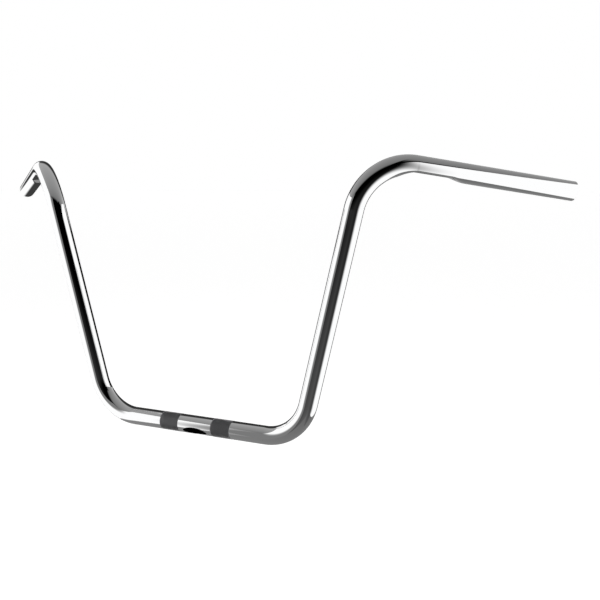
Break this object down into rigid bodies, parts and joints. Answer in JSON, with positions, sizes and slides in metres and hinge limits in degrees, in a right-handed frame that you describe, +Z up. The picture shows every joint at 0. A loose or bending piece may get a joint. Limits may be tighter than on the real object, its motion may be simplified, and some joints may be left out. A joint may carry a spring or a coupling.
{
  "type": "ape hanger handlebar",
  "caption": "Tall bent-tube motorcycle handlebar: straight base with knurled clamping bands, rising uprights and swept-back grips, with a wiring hole and dimples.",
  "frame": {"origin": "middle of the base on the tube's axis, between the two clamping bands", "axes": "+X to the rider's left along the base, +Y back towards the rider, +Z up in the plane of the uprights"},
  "size_m": [0.9538, 0.2003, 0.3842],
  "materials": {
    "chrome_tube": "mirror-polished chrome plate over steel tube"
  },
  "bodies": {
    "root": {"handlebar": "chrome_tube"}
  },
  "joints": []
}
